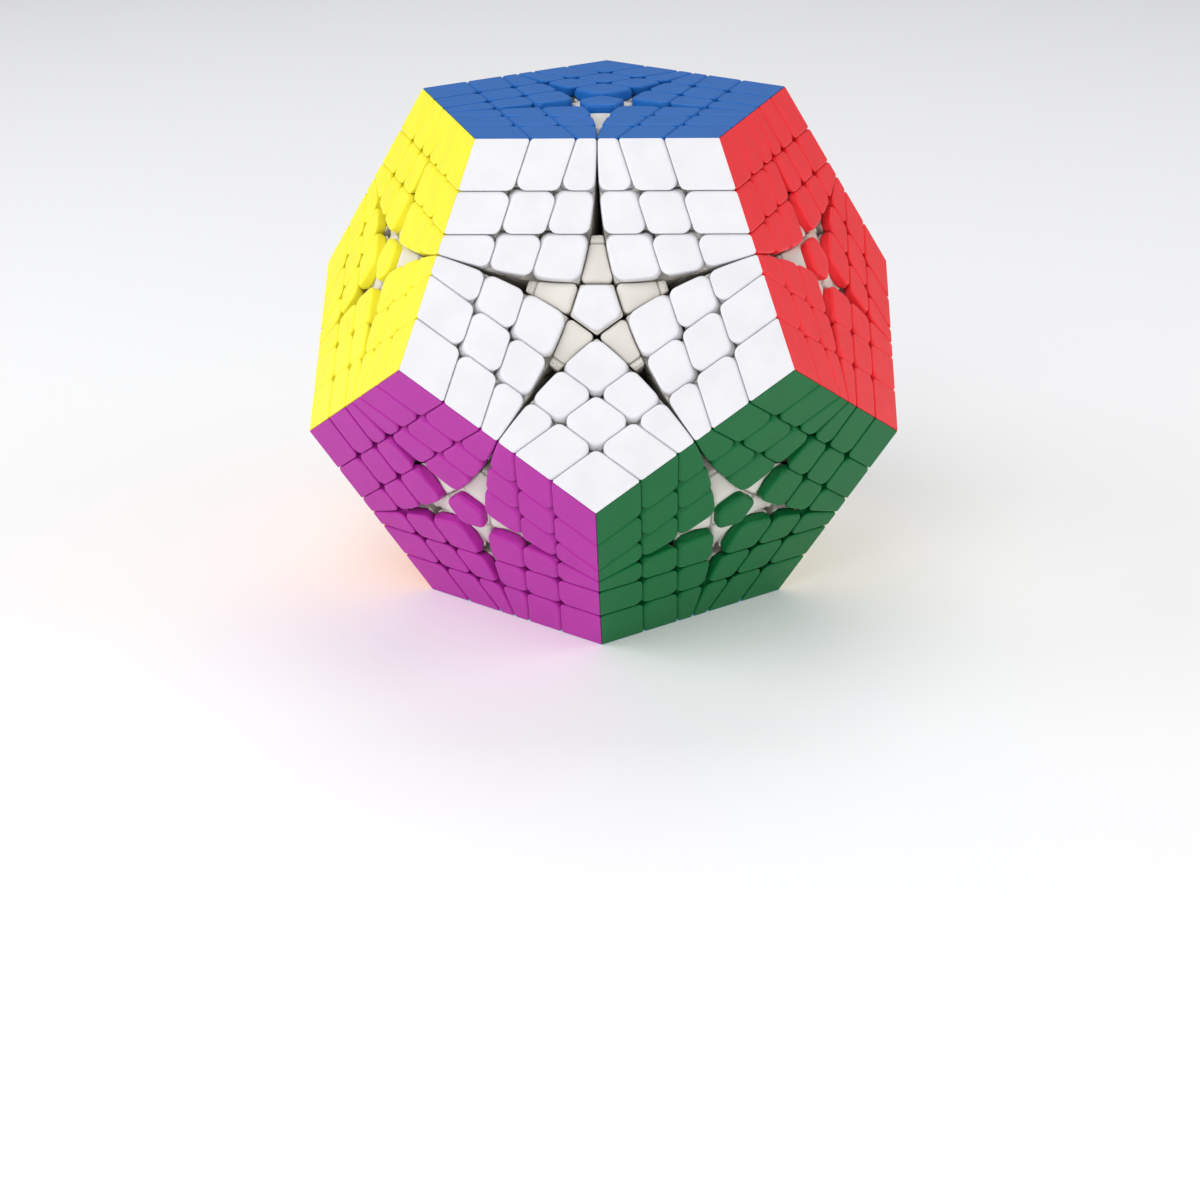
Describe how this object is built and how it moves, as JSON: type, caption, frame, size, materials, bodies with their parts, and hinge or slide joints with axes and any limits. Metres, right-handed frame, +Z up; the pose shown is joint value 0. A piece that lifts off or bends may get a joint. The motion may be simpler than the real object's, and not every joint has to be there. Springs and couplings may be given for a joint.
{
  "type": "dodecahedron twisty puzzle",
  "caption": "Dodecahedral twisty puzzle in many colours: blocks of small square tiles at the corners, pentagon caps, star-shaped gaps, and layers that turn about the face axes.",
  "frame": {"origin": "middle of the face that the puzzle stands on", "axes": "+Z up through the opposite face, -Y towards the white face"},
  "size_m": [0.1152, 0.121, 0.098],
  "materials": {
    "blue_plastic": "satin moulded, coloured through",
    "white_plastic": "satin moulded, coloured through",
    "red_plastic": "satin moulded, coloured through",
    "pink_plastic": "satin moulded, coloured through",
    "lime_plastic": "satin moulded, coloured through",
    "yellow_plastic": "satin moulded, coloured through",
    "purple_plastic": "satin moulded, coloured through",
    "green_plastic": "satin moulded, coloured through",
    "cream_plastic": "satin moulded, coloured through",
    "grey_plastic": "satin moulded, coloured through",
    "orange_plastic": "satin moulded, coloured through",
    "sky_plastic": "satin moulded, coloured through",
    "inner_plastic": "satin moulded, off-white",
    "core_plastic": "moulded",
    "steel": "bright zinc"
  },
  "bodies": {
    "core": {"core_upper_half": "core_plastic", "core_lower_half": "core_plastic", "core_dowels": "steel", "centre_screws": "steel", "centre_springs": "steel", "fixed_white_tiles": "white_plastic", "fixed_red_tiles": "red_plastic", "fixed_pink_tiles": "pink_plastic", "fixed_lime_tiles": "lime_plastic", "fixed_yellow_tiles": "yellow_plastic", "fixed_green_tiles": "green_plastic", "fixed_grey_tiles": "grey_plastic", "fixed_orange_tiles": "orange_plastic", "fixed_sky_tiles": "sky_plastic", "fixed_inner_pieces": "inner_plastic"},
    "blue_outer_layer": {"blue_outer_layer_blue_tiles": "blue_plastic", "blue_outer_layer_white_tiles": "white_plastic", "blue_outer_layer_red_tiles": "red_plastic", "blue_outer_layer_pink_tiles": "pink_plastic", "blue_outer_layer_lime_tiles": "lime_plastic", "blue_outer_layer_yellow_tiles": "yellow_plastic", "blue_outer_layer_inner_pieces": "inner_plastic"},
    "blue_middle_layer": {"blue_middle_layer_white_tiles": "white_plastic", "blue_middle_layer_red_tiles": "red_plastic", "blue_middle_layer_pink_tiles": "pink_plastic", "blue_middle_layer_lime_tiles": "lime_plastic", "blue_middle_layer_yellow_tiles": "yellow_plastic", "blue_middle_layer_inner_pieces": "inner_plastic"},
    "blue_inner_layer": {"blue_inner_layer_white_tiles": "white_plastic", "blue_inner_layer_red_tiles": "red_plastic", "blue_inner_layer_pink_tiles": "pink_plastic", "blue_inner_layer_lime_tiles": "lime_plastic", "blue_inner_layer_yellow_tiles": "yellow_plastic", "blue_inner_layer_inner_pieces": "inner_plastic"},
    "purple_outer_layer": {"purple_outer_layer_white_tiles": "white_plastic", "purple_outer_layer_yellow_tiles": "yellow_plastic", "purple_outer_layer_purple_tiles": "purple_plastic", "purple_outer_layer_green_tiles": "green_plastic", "purple_outer_layer_orange_tiles": "orange_plastic", "purple_outer_layer_sky_tiles": "sky_plastic", "purple_outer_layer_inner_pieces": "inner_plastic"},
    "purple_middle_layer": {"purple_middle_layer_white_tiles": "white_plastic", "purple_middle_layer_yellow_tiles": "yellow_plastic", "purple_middle_layer_green_tiles": "green_plastic", "purple_middle_layer_orange_tiles": "orange_plastic", "purple_middle_layer_sky_tiles": "sky_plastic", "purple_middle_layer_inner_pieces": "inner_plastic"},
    "purple_inner_layer": {"purple_inner_layer_white_tiles": "white_plastic", "purple_inner_layer_yellow_tiles": "yellow_plastic", "purple_inner_layer_green_tiles": "green_plastic", "purple_inner_layer_orange_tiles": "orange_plastic", "purple_inner_layer_sky_tiles": "sky_plastic", "purple_inner_layer_inner_pieces": "inner_plastic"},
    "cream_outer_layer": {"cream_outer_layer_red_tiles": "red_plastic", "cream_outer_layer_pink_tiles": "pink_plastic", "cream_outer_layer_green_tiles": "green_plastic", "cream_outer_layer_cream_tiles": "cream_plastic", "cream_outer_layer_grey_tiles": "grey_plastic", "cream_outer_layer_sky_tiles": "sky_plastic", "cream_outer_layer_inner_pieces": "inner_plastic"}
  },
  "joints": [
    {"name": "blue_outer_layer_turn", "type": "hinge", "parent": "core", "child": "blue_outer_layer", "pos_m": [0, 0, 0.04899], "axis": [0, 0, 1], "continuous": true},
    {"name": "blue_middle_layer_turn", "type": "hinge", "parent": "core", "child": "blue_middle_layer", "pos_m": [0, 0, 0.04899], "axis": [0, 0, 1], "continuous": true},
    {"name": "blue_inner_layer_turn", "type": "hinge", "parent": "core", "child": "blue_inner_layer", "pos_m": [0, 0, 0.04899], "axis": [0, 0, 1], "continuous": true},
    {"name": "purple_outer_layer_turn", "type": "hinge", "parent": "core", "child": "purple_outer_layer", "pos_m": [0, 0, 0.04899], "axis": [-0.5257, -0.7236, -0.4472], "continuous": true},
    {"name": "purple_middle_layer_turn", "type": "hinge", "parent": "core", "child": "purple_middle_layer", "pos_m": [0, 0, 0.04899], "axis": [-0.5257, -0.7236, -0.4472], "continuous": true},
    {"name": "purple_inner_layer_turn", "type": "hinge", "parent": "core", "child": "purple_inner_layer", "pos_m": [0, 0, 0.04899], "axis": [-0.5257, -0.7236, -0.4472], "continuous": true},
    {"name": "cream_outer_layer_turn", "type": "hinge", "parent": "core", "child": "cream_outer_layer", "pos_m": [0, 0, 0.04899], "axis": [0.8507, 0.2764, -0.4472], "continuous": true}
  ]
}
